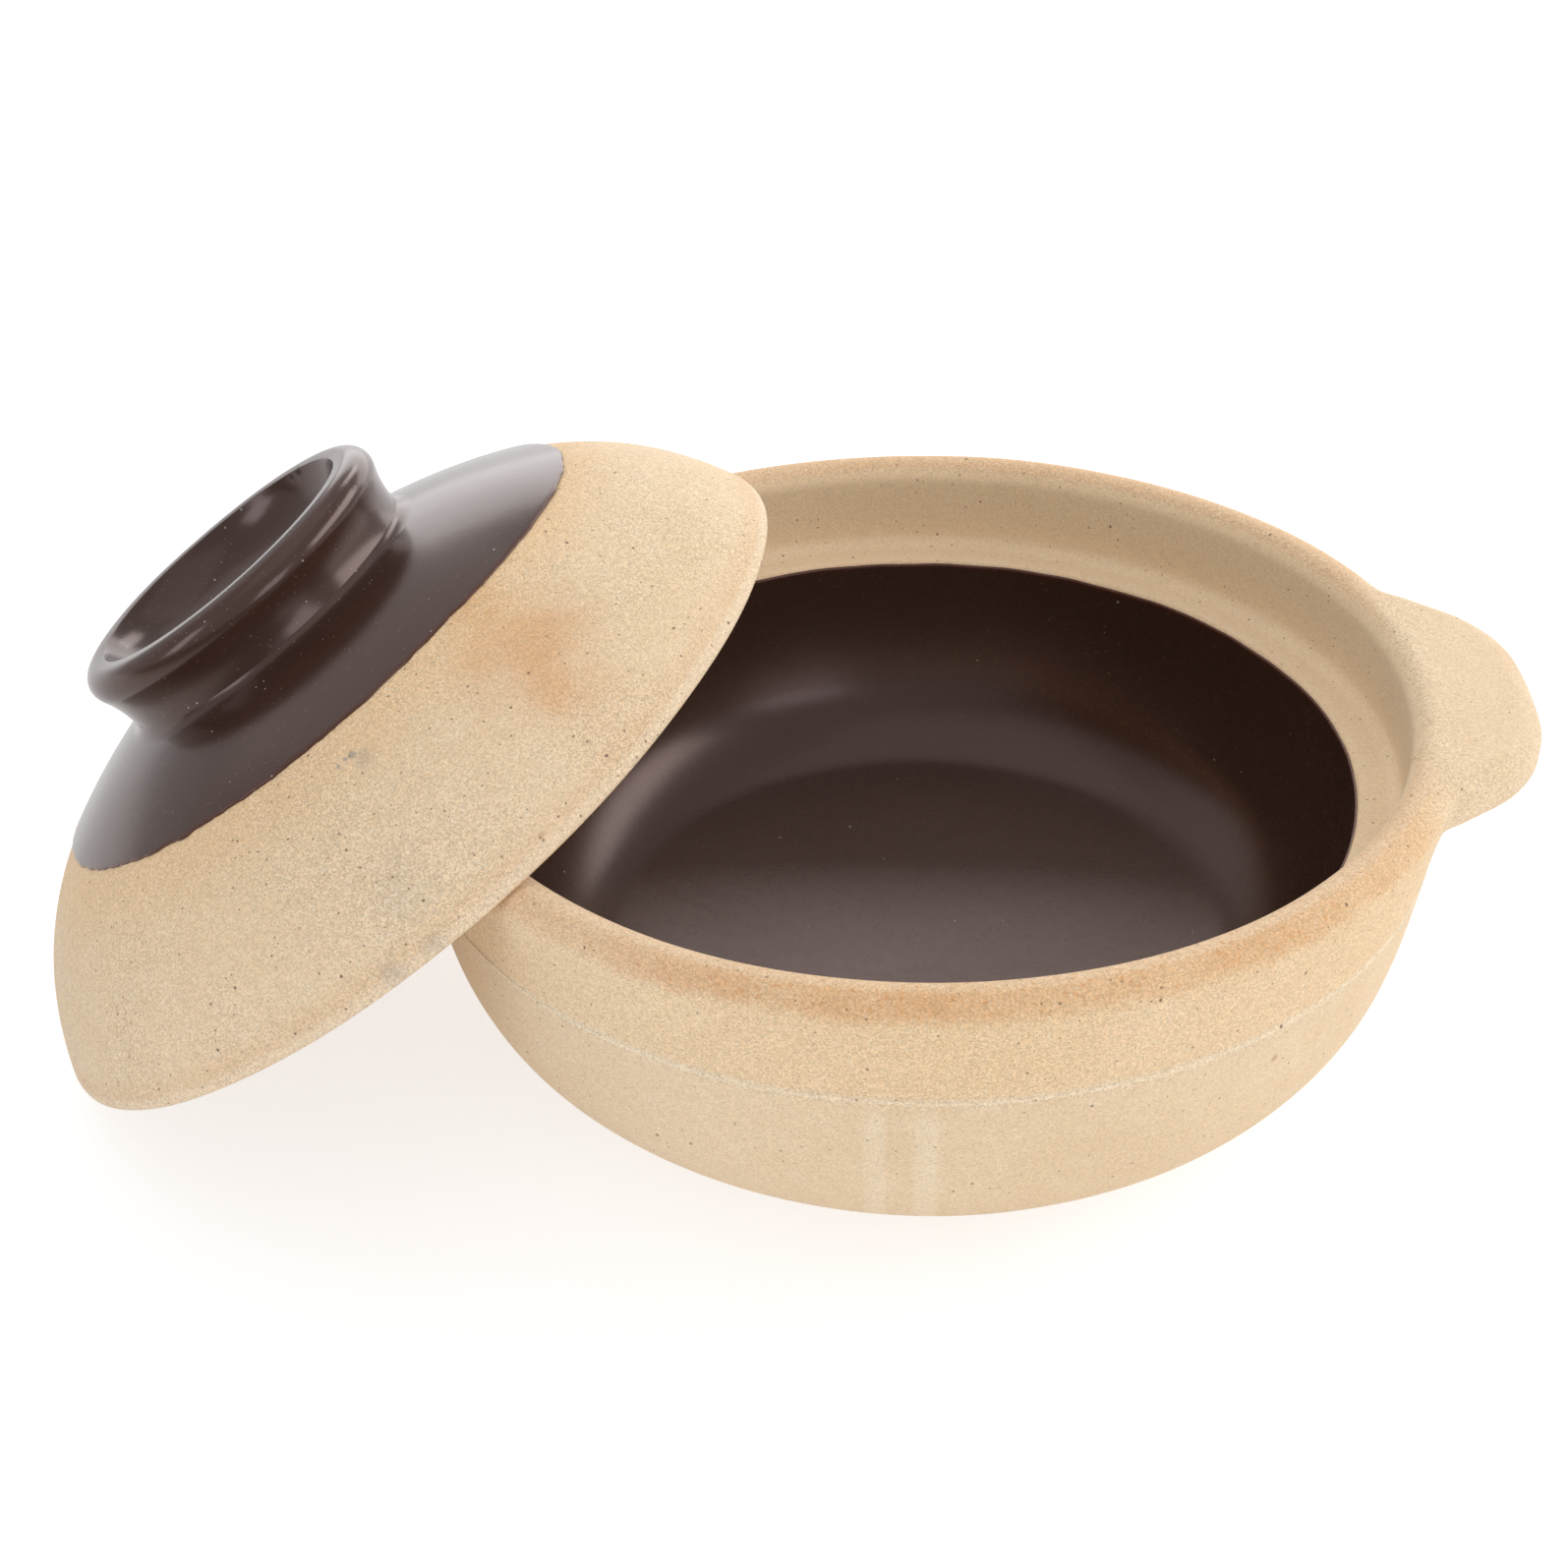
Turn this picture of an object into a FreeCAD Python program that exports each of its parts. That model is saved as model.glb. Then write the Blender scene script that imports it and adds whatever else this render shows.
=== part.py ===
import FreeCAD, Part
import math
import os

# A small stoneware cooking pot with two lugs and a loose domed lid that leans on its left side.
# Millimetres. The origin is the middle of the pot's base, Z is up and the lugs lie along X.
# Outlines are drawn as (radius, height) pairs, and spun round the axis of the piece.

# Pot, outside
pot_height = 73.6
rim_outer_radius = 95.0
rim_round = 4.2
collar_taper = 3.0
collar_depth = 20.8
base_radius = 0.497 * rim_outer_radius
base_edge_round = 9.0
bowl_lower_pull = 0.45 * rim_outer_radius
bowl_lower_rise = 0.35
bowl_upper_pull = 0.315 * pot_height
bowl_upper_lean = 0.15

# Pot, inside: the ledge that the lid sits on, and the bowl below it
ledge_width = 7.6
ledge_depth = 18.6
ledge_nose = 1.0
ledge_cove = 2.8
wall_curve = 0.632 * rim_outer_radius
heel_curve = 0.232 * rim_outer_radius
floor_curve = 300.0
floor_thickness = 10.8

# Lugs: their outline from above, and their thickness
lug_length = 13.7
lug_corner = 26.4
lug_flank_inset = 12.6
lug_flank_slope = 37.8
lug_root_fillet = 18.0
lug_thickness = 10.3
lug_under_round = 3.8
lug_seam_margin = 2.0

# Glaze coat
glaze_thickness = 0.4

# Room that the seated lid has inside the rim, all round
lid_clearance = 2.95

# What the pot's driving sizes give
rim_centre = (rim_outer_radius - rim_round, pot_height - rim_round)
rim_inner_radius = rim_outer_radius - 2 * rim_round
crease = (rim_outer_radius - collar_taper, pot_height - collar_depth)
ledge_radius = rim_inner_radius - ledge_width
ledge_height = pot_height - ledge_depth
lug_reach = rim_outer_radius + lug_length
lug_flank_distance = rim_outer_radius - lug_flank_inset

# Lid: clay dome on its own upright axis, with heights above its lip
lid_radius = rim_inner_radius - lid_clearance
lid_wall = 5.5
lip_round = 0.8
lip_bevel = 2.6
lip_curve = 4.2
crown_height = 0.53 * lid_radius
crown_curve = 1.524 * lid_radius
shoulder_curve = 0.726 * lid_radius
lid_glaze_radius = 0.666 * lid_radius

# Knob: a thrown ring on the crown
knob_height = crown_height + 10.15
knob_bead_radius = 29.25
knob_bead_round = 3.25
knob_hollow = 18.0
knob_ridge_radius = 29.2
knob_ridge_height = crown_height - 2.7
knob_ridge_round = 1.5
knob_cove = 4.0
knob_edge_round = 0.35
knob_edge_bearing = 130.0
knob_floor_height = crown_height + 0.6
knob_cup_curve = 14.0

# Where the lid leans: how far its middle is from the pot's axis and which way, and its two gaps
lean_reach = 1.0065 * rim_outer_radius
lean_turn = 177.3
floor_gap = 0.25
rim_gap = 0.3


# Drawing aids

def place(point):
    return FreeCAD.Vector(point[0], 0, point[1])


def on_circle(centre, radius, bearing):
    angle = math.radians(bearing)
    return (centre[0] + radius * math.cos(angle), centre[1] + radius * math.sin(angle))


def bearing_of(start, end):
    return math.degrees(math.atan2(end[1] - start[1], end[0] - start[0]))


def line(start, end):
    return Part.LineSegment(place(start), place(end)).toShape()


def arc(centre, radius, first, last):
    middle = (first + last) / 2
    ends = [place(on_circle(centre, radius, bearing)) for bearing in (first, middle, last)]
    return Part.Arc(*ends).toShape()


def meeting_point(first, first_distance, second, second_distance, side):
    # The point at one distance from the first centre and another from the second, left (1) or right (-1)
    # of the way from the first centre to the second.
    across = (second[0] - first[0], second[1] - first[1])
    apart = math.hypot(*across)
    along = (first_distance ** 2 - second_distance ** 2 + apart ** 2) / (2 * apart)
    aside = side * math.sqrt(first_distance ** 2 - along ** 2)
    unit = (across[0] / apart, across[1] / apart)
    return (first[0] + along * unit[0] - aside * unit[1], first[1] + along * unit[1] + aside * unit[0])


def spun(edges):
    outline = Part.Wire(edges)
    return Part.Face(outline).revolve(FreeCAD.Vector(0, 0, 0), FreeCAD.Vector(0, 0, 1), 360)


# Pot

def bowl_lining(inset):
    # The inside of the bowl from the ledge's nose down to the middle of its dished floor, moved inwards by
    # inset: three hollow curves that run into each other.
    wall_centre = (ledge_radius - wall_curve, ledge_height - ledge_nose)
    floor_centre = (0, floor_thickness + floor_curve)
    heel_centre = meeting_point(wall_centre, wall_curve - heel_curve, floor_centre, floor_curve - heel_curve, -1)
    wall_end = bearing_of(wall_centre, heel_centre)
    heel_end = bearing_of(floor_centre, heel_centre)
    return [
        arc(wall_centre, wall_curve - inset, 0, wall_end),
        arc(heel_centre, heel_curve - inset, wall_end, heel_end),
        arc(floor_centre, floor_curve - inset, heel_end, -90),
    ]


def pot_bowl():
    base_slope = math.degrees(math.atan(bowl_lower_rise))
    base_cut = base_edge_round * math.tan(math.radians(base_slope / 2))
    base_round_centre = (base_radius - base_cut, base_edge_round)
    bowl_start = on_circle(base_round_centre, base_edge_round, base_slope - 90)
    bowl = Part.BezierCurve()
    bowl.setPoles([
        place(bowl_start),
        place((base_radius + bowl_lower_pull, bowl_lower_pull * bowl_lower_rise)),
        place((crease[0] - bowl_upper_pull * bowl_upper_lean, crease[1] - bowl_upper_pull)),
        place(crease),
    ])
    apart = math.hypot(crease[0] - rim_centre[0], crease[1] - rim_centre[1])
    collar_bearing = bearing_of(rim_centre, crease) + math.degrees(math.acos(rim_round / apart))
    cove_centre = (rim_inner_radius - ledge_cove, ledge_height + ledge_cove)
    nose_centre = (ledge_radius + ledge_nose, ledge_height - ledge_nose)
    edges = [
        line((0, 0), (base_round_centre[0], 0)),
        arc(base_round_centre, base_edge_round, -90, base_slope - 90),
        bowl.toShape(),
        line(crease, on_circle(rim_centre, rim_round, collar_bearing)),
        arc(rim_centre, rim_round, collar_bearing, 180),
        line((rim_inner_radius, rim_centre[1]), (rim_inner_radius, cove_centre[1])),
        arc(cove_centre, ledge_cove, 0, -90),
        line((cove_centre[0], ledge_height), (nose_centre[0], ledge_height)),
        arc(nose_centre, ledge_nose, 90, 180),
        *bowl_lining(0),
        line((0, floor_thickness), (0, 0)),
    ]
    return spun(edges)


def pot_lining_glaze():
    top = ledge_height - ledge_nose
    clay_side = bowl_lining(0)
    open_side = bowl_lining(glaze_thickness)
    ends = [
        line((0, floor_thickness), (0, floor_thickness + glaze_thickness)),
        line((ledge_radius, top), (ledge_radius - glaze_thickness, top)),
    ]
    return spun(Part.__sortEdges__(clay_side + open_side + ends))


def lug_outline():
    # The pot's outline from above: the rim's circle with a lug on each side. Each lug has a tip on a circle
    # round the pot's axis, round corners, straight flanks, and root fillets that run into the rim.
    flank_bearing = 90 - lug_flank_slope
    corner_turn = math.degrees(math.acos((lug_flank_distance - lug_corner) / (lug_reach - lug_corner)))
    corner_bearing = flank_bearing - corner_turn
    corner_centre = on_circle((0, 0), lug_reach - lug_corner, corner_bearing)
    root_distance = rim_outer_radius + lug_root_fillet
    root_turn = math.degrees(math.acos((lug_flank_distance + lug_root_fillet) / root_distance))
    root_bearing = flank_bearing - root_turn
    root_centre = on_circle((0, 0), root_distance, root_bearing)

    half = [
        arc((0, 0), rim_outer_radius, 90, root_bearing),
        arc(root_centre, lug_root_fillet, root_bearing + 180, flank_bearing + 180),
        line(
            on_circle(root_centre, lug_root_fillet, flank_bearing + 180),
            on_circle(corner_centre, lug_corner, flank_bearing),
        ),
        arc(corner_centre, lug_corner, flank_bearing, corner_bearing),
        arc((0, 0), lug_reach, corner_bearing, 0),
    ]
    quarter = Part.Wire(half)
    upright = FreeCAD.Rotation(FreeCAD.Vector(1, 0, 0), -90)
    quarter.Placement = FreeCAD.Placement(FreeCAD.Vector(0, 0, 0), upright)
    lower = quarter.mirror(FreeCAD.Vector(0, 0, 0), FreeCAD.Vector(0, 1, 0))
    right = quarter.Edges + lower.Edges
    left = [edge.mirror(FreeCAD.Vector(0, 0, 0), FreeCAD.Vector(1, 0, 0)) for edge in right]
    return Part.Wire(Part.__sortEdges__(right + left)), root_bearing


def level_disc():
    outline, root_bearing = lug_outline()
    plate = Part.Face(outline).extrude(FreeCAD.Vector(0, 0, lug_thickness))
    plate.translate(FreeCAD.Vector(0, 0, pot_height - lug_thickness))
    top_edges = [edge for edge in plate.Edges if edge.BoundBox.ZMin > pot_height - 0.01]
    plate = plate.makeFillet(rim_round, top_edges)
    underside = pot_height - lug_thickness
    under_edges = [edge for edge in plate.Edges if edge.BoundBox.ZMax < underside + 0.01]
    return plate.makeFillet(lug_under_round, under_edges), root_bearing


def lug(side):
    # One lug: the part of the level disc outside the rim's crest, within the lug's own sector.
    disc, root_bearing = level_disc()
    half_angle = root_bearing + lug_seam_margin
    tall = 2 * pot_height
    wide = Part.makeCylinder(
        2 * lug_reach, tall, FreeCAD.Vector(0, 0, 0), FreeCAD.Vector(0, 0, 1), 2 * half_angle)
    turn = -half_angle if side > 0 else 180 - half_angle
    wide.rotate(FreeCAD.Vector(0, 0, 0), FreeCAD.Vector(0, 0, 1), turn)
    crest = Part.makeCylinder(rim_centre[0], tall)
    return disc.common(wide).cut(crest)


# Lid, on its own axis

crown_centre = (0, crown_height - crown_curve)
lip_centre = (lid_radius - lip_curve, lip_round)
shoulder_centre = meeting_point(
    crown_centre, crown_curve - shoulder_curve, lip_centre, shoulder_curve - lip_curve, 1)
crown_bearing = bearing_of(crown_centre, shoulder_centre)
shoulder_bearing = bearing_of(shoulder_centre, lip_centre)


# The lip's underside is bevelled: a straight run between two small roundings, of which the inner one is
# higher and ends in the hollow of the dome.
outer_lip = (lid_radius - lip_round, lip_round)
inner_lip_distance = shoulder_curve - lid_wall + lip_round
inner_lip_rise = lip_round + lip_bevel - shoulder_centre[1]
inner_lip_bearing = math.degrees(math.asin(inner_lip_rise / inner_lip_distance))
inner_lip = on_circle(shoulder_centre, inner_lip_distance, inner_lip_bearing)


def lid_dome():
    under_bearing = bearing_of(outer_lip, inner_lip) - 270
    edges = [
        arc(crown_centre, crown_curve, 90, crown_bearing),
        arc(shoulder_centre, shoulder_curve, crown_bearing, shoulder_bearing),
        arc(lip_centre, lip_curve, shoulder_bearing, 0),
        arc(outer_lip, lip_round, 0, under_bearing),
        line(on_circle(outer_lip, lip_round, under_bearing), on_circle(inner_lip, lip_round, under_bearing)),
        arc(inner_lip, lip_round, under_bearing, inner_lip_bearing - 180),
        arc(shoulder_centre, shoulder_curve - lid_wall, inner_lip_bearing, crown_bearing),
        arc(crown_centre, crown_curve - lid_wall, crown_bearing, 90),
        line((0, crown_height - lid_wall), (0, crown_height)),
    ]
    return spun(edges)


bead_centre = (knob_bead_radius, knob_height - knob_bead_round)
ridge_centre = (knob_ridge_radius, knob_ridge_height)
edge_centre = on_circle(bead_centre, knob_bead_round - knob_edge_round, knob_edge_bearing)
hollow_centre = meeting_point(
    ridge_centre, knob_ridge_round + knob_hollow, bead_centre, knob_bead_round + knob_hollow, -1)
cove_centre = meeting_point(
    ridge_centre, knob_ridge_round + knob_cove, crown_centre, crown_curve + knob_cove, 1)
foot_bearing = bearing_of(crown_centre, cove_centre)
cup_rise = knob_floor_height + knob_cup_curve - edge_centre[1]
cup_bearing = math.degrees(math.asin(cup_rise / (knob_cup_curve + knob_edge_round)))
cup_centre = on_circle(edge_centre, knob_cup_curve + knob_edge_round, 180 - cup_bearing)


def knob_side(grow):
    # The knob's outline from the crown up the outside, over the bead and down to the floor of its cup,
    # moved outwards by grow. Hollow curves get tighter by as much.
    floor = knob_floor_height + grow
    ridge_low = bearing_of(ridge_centre, cove_centre)
    ridge_high = bearing_of(ridge_centre, hollow_centre)
    bead_low = bearing_of(bead_centre, hollow_centre)
    return [
        arc(cove_centre, knob_cove - grow, foot_bearing - 180, ridge_low - 180),
        arc(ridge_centre, knob_ridge_round + grow, ridge_low, ridge_high),
        arc(hollow_centre, knob_hollow - grow, ridge_high + 180, bead_low + 180),
        arc(bead_centre, knob_bead_round + grow, bead_low, knob_edge_bearing),
        arc(edge_centre, knob_edge_round + grow, knob_edge_bearing, 180 - cup_bearing),
        arc(cup_centre, knob_cup_curve - grow, -cup_bearing, -90),
        line((cup_centre[0], floor), (0, floor)),
    ]


def knob_ring():
    edges = [
        *knob_side(0),
        line((0, knob_floor_height), (0, crown_height)),
        arc(crown_centre, crown_curve, 90, foot_bearing),
    ]
    return spun(Part.__sortEdges__(edges))


def knob_glaze():
    edges = [
        *knob_side(0),
        *knob_side(glaze_thickness),
        line((0, knob_floor_height), (0, knob_floor_height + glaze_thickness)),
        line(
            on_circle(crown_centre, crown_curve, foot_bearing),
            on_circle(crown_centre, crown_curve + glaze_thickness, foot_bearing),
        ),
    ]
    return spun(Part.__sortEdges__(edges))


def crown_glaze():
    edge_bearing = math.degrees(math.acos(lid_glaze_radius / crown_curve))
    outer_curve = crown_curve + glaze_thickness
    edges = [
        arc(crown_centre, crown_curve, foot_bearing, edge_bearing),
        line(
            on_circle(crown_centre, crown_curve, edge_bearing),
            on_circle(crown_centre, outer_curve, edge_bearing),
        ),
        arc(crown_centre, outer_curve, edge_bearing, foot_bearing),
        line(
            on_circle(crown_centre, outer_curve, foot_bearing),
            on_circle(crown_centre, crown_curve, foot_bearing),
        ),
    ]
    return spun(edges)


# The lean: the lid's lowest point is just off the floor and its lip just off the pot's rim.

def lean_height(tilt):
    return floor_gap + lip_round + outer_lip[0] * math.sin(tilt) - lip_round * math.cos(tilt)


def distance_to_bevel(point):
    # How far a point in the lid's section is from the line between the lip's two roundings.
    run = (inner_lip[0] - outer_lip[0], inner_lip[1] - outer_lip[1])
    away = (point[0] - outer_lip[0], point[1] - outer_lip[1])
    share = (away[0] * run[0] + away[1] * run[1]) / (run[0] ** 2 + run[1] ** 2)
    share = min(max(share, 0), 1)
    return math.hypot(away[0] - share * run[0], away[1] - share * run[1])


def clearance_at(tilt):
    # The least space between the leaning lid's lip and the pot's rim, found by walking half way round the
    # circle inside the rounded rim.
    walk_steps = 720
    above = rim_centre[1] - lean_height(tilt)
    nearest = lean_reach
    for step in range(walk_steps):
        angle = math.pi * step / walk_steps
        ahead = rim_centre[0] * math.cos(angle) - lean_reach
        aside = rim_centre[0] * math.sin(angle)
        height = ahead * math.sin(tilt) + above * math.cos(tilt)
        radius = math.sqrt(ahead ** 2 + aside ** 2 + above ** 2 - height ** 2)
        nearest = min(nearest, distance_to_bevel((radius, height)))
    return nearest - lip_round - rim_round


def lean_tilt():
    # Lets the upright lid down in ever smaller steps until its lip is near the rim.
    tilt = math.radians(90)
    step = math.radians(1)
    smallest_step = math.radians(0.001)
    while step > smallest_step:
        if clearance_at(tilt - step) > rim_gap:
            tilt = tilt - step
        else:
            step = step / 2
    return tilt


tilt = lean_tilt()
turn = math.radians(lean_turn)
lid_middle = FreeCAD.Vector(lean_reach * math.cos(turn), lean_reach * math.sin(turn), lean_height(tilt))
around = FreeCAD.Rotation(FreeCAD.Vector(0, 0, 1), lean_turn)
down = FreeCAD.Rotation(FreeCAD.Vector(0, 1, 0), math.degrees(tilt))
lean = FreeCAD.Placement(lid_middle, around.multiply(down))


def leaning(shape):
    shape.transformShape(lean.toMatrix(), True)
    return shape


# The eight pieces

handle_right = lug(1)
handle_left = lug(-1)
pieces = {
    "pot_body": pot_bowl().cut(handle_right).cut(handle_left),
    "handle_right": handle_right,
    "handle_left": handle_left,
    "pot_glaze": pot_lining_glaze(),
    "lid_shell": leaning(lid_dome()),
    "lid_knob": leaning(knob_ring()),
    "lid_crown_glaze": leaning(crown_glaze()),
    "lid_knob_glaze": leaning(knob_glaze()),
}
os.makedirs("parts", exist_ok=True)
for name, shape in pieces.items():
    solid = shape.Solids[0]
    print(name, len(shape.Solids), "solid", solid.isValid(), round(solid.Volume), "mm3")
    solid.exportStep("parts/" + name + ".step")
print("The lid leans by", round(math.degrees(tilt), 3), "degrees with its middle at", lid_middle)
print("Its axis points along", lean.Rotation.multVec(FreeCAD.Vector(0, 0, 1)))
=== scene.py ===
import math

import bmesh
import bpy
from mathutils import Matrix, Vector, geometry, noise


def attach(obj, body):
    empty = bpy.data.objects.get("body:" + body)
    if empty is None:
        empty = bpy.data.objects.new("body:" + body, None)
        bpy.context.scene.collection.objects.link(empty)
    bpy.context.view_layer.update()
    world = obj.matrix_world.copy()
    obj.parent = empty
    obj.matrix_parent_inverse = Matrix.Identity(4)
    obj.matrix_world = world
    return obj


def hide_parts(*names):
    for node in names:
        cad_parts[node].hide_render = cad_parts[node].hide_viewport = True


# A stoneware cooking pot with two lugs, and its loose domed lid, which leans on the pot's left side.
# Outlines are drawn in millimetres, and each mesh is brought to metres when its piece is finished.
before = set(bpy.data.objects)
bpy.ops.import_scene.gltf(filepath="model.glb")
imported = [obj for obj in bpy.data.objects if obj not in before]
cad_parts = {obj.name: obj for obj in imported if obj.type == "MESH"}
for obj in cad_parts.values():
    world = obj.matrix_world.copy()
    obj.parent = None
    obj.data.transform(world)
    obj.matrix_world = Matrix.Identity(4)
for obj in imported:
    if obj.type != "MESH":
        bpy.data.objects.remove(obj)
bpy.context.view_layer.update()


# The bowl
# It is thrown from buff stoneware clay, with a thick rounded rim, a ledge inside for the lid to sit on, and
# a plain collar that ends in a crease. The clay is left bare outside and fires to a sandy, speckled buff.

pot_height = 73.6
rim_outer_radius = 95.0
rim_round = 4.2
rim_centre = (rim_outer_radius - rim_round, pot_height - rim_round)
rim_inner_radius = rim_outer_radius - 2 * rim_round
crease = (92.0, 52.8)
crease_step = 0.25
crease_round = 0.35
base_radius = 47.2
base_slope = math.degrees(math.atan(0.35))
base_edge_round = 9.0
bowl_lower_handle = (90.0, 15.0)
bowl_upper_handle = (88.5, 29.6)
ledge_radius = 79.0
ledge_height = 55.0
ledge_nose = 1.0
ledge_cove = 2.8
wall_curve = 60.04
heel_curve = 22.04
floor_curve = 300.0
floor_thickness = 10.8
bowl_columns = 400


def on_circle(centre, radius, bearing):
    angle = math.radians(bearing)
    return (centre[0] + radius * math.cos(angle), centre[1] + radius * math.sin(angle))


def bearing_of(start, end):
    return math.degrees(math.atan2(end[1] - start[1], end[0] - start[0]))


def meeting_point(first, first_distance, second, second_distance, side):
    # The point at one distance from the first centre and another from the second, left (1) or right (-1)
    # of the way from the first centre to the second.
    across = (second[0] - first[0], second[1] - first[1])
    apart = math.hypot(*across)
    along = (first_distance ** 2 - second_distance ** 2 + apart ** 2) / (2 * apart)
    aside = side * math.sqrt(first_distance ** 2 - along ** 2)
    unit = (across[0] / apart, across[1] / apart)
    return (first[0] + along * unit[0] - aside * unit[1], first[1] + along * unit[1] + aside * unit[0])


class Outline:
    # The section of a thrown piece, drawn by moving a pen: radius along X, height along Z.
    def __init__(self, radius, height):
        self.mesh = bmesh.new()
        self.pen = bmesh.ops.create_vert(self.mesh, co=(radius, 0, height))["vert"][0]

    def line(self, end, steps=1):
        start = self.pen.co.copy()
        for step in range(steps):
            grown = bmesh.ops.extrude_vert_indiv(self.mesh, verts=[self.pen])
            self.pen = grown["verts"][0]
            self.pen.co = start.lerp(Vector((end[0], 0, end[1])), (step + 1) / steps)

    def arc(self, centre, sweep, steps):
        middle = (centre[0], 0, centre[1])
        turned = bmesh.ops.spin(
            self.mesh, geom=[self.pen], cent=middle, axis=(0, -1, 0), angle=math.radians(sweep), steps=steps)
        self.pen = [end for end in turned["geom_last"] if isinstance(end, bmesh.types.BMVert)][0]

    def bezier(self, first_handle, second_handle, end, steps):
        knots = [(handle[0], 0, handle[1]) for handle in (first_handle, second_handle, end)]
        for point in geometry.interpolate_bezier(self.pen.co, *knots, steps + 1)[1:]:
            self.line((point.x, point.z))

    def turned(self, sweep, steps, copies=False):
        bmesh.ops.spin(
            self.mesh, geom=self.mesh.verts[:] + self.mesh.edges[:] + self.mesh.faces[:], cent=(0, 0, 0),
            axis=(0, 0, 1), angle=math.radians(sweep), steps=steps, use_duplicate=copies)

    def thrown(self, columns, sectors=20):
        # One sector is spun first, and then copied all the way round.
        sector = 360 / sectors
        self.turned(sector, columns // sectors)
        self.turned(360 - sector, sectors - 1, copies=True)
        bmesh.ops.remove_doubles(self.mesh, verts=self.mesh.verts, dist=0.0005)
        bmesh.ops.recalc_face_normals(self.mesh, faces=self.mesh.faces)
        return self.mesh


def hand_made(mesh, wander=0.16, patch=26):
    # Nothing thrown by hand is quite true: every point moves a little, the same way as its neighbours, but
    # none goes under the table.
    noise.seed_set(1)
    for point in mesh.verts:
        point.co += wander * noise.noise_vector(point.co / patch)
        point.co.z = max(point.co.z, 0)


def finished(mesh, name, material, body, nodes):
    bmesh.ops.scale(mesh, vec=(0.001, 0.001, 0.001), verts=mesh.verts)
    data = bpy.data.meshes.new(name)
    mesh.to_mesh(data)
    mesh.free()
    data.shade_smooth()
    data.materials.append(material)
    piece = bpy.data.objects.new(name, data)
    bpy.context.scene.collection.objects.link(piece)
    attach(piece, body)
    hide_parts(*nodes)
    return piece


class Field:
    # A value that varies over a surface. It wraps one node's output, and sums on it add their own nodes.
    def __init__(self, finish, socket):
        self.finish = finish
        self.socket = socket

    def math(self, operation, first, second):
        return self.finish.add("ShaderNodeMath", {"operation": operation}, {0: first, 1: second})

    def __add__(self, other):
        return self.math("ADD", self, other)

    def __radd__(self, other):
        return self.math("ADD", other, self)

    def __sub__(self, other):
        return self.math("SUBTRACT", self, other)

    def __rsub__(self, other):
        return self.math("SUBTRACT", other, self)

    def __mul__(self, other):
        return self.math("MULTIPLY", self, other)

    def __rmul__(self, other):
        return self.math("MULTIPLY", other, self)

    def __truediv__(self, other):
        return self.math("DIVIDE", self, other)

    def __pow__(self, other):
        return self.math("POWER", self, other)


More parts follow.
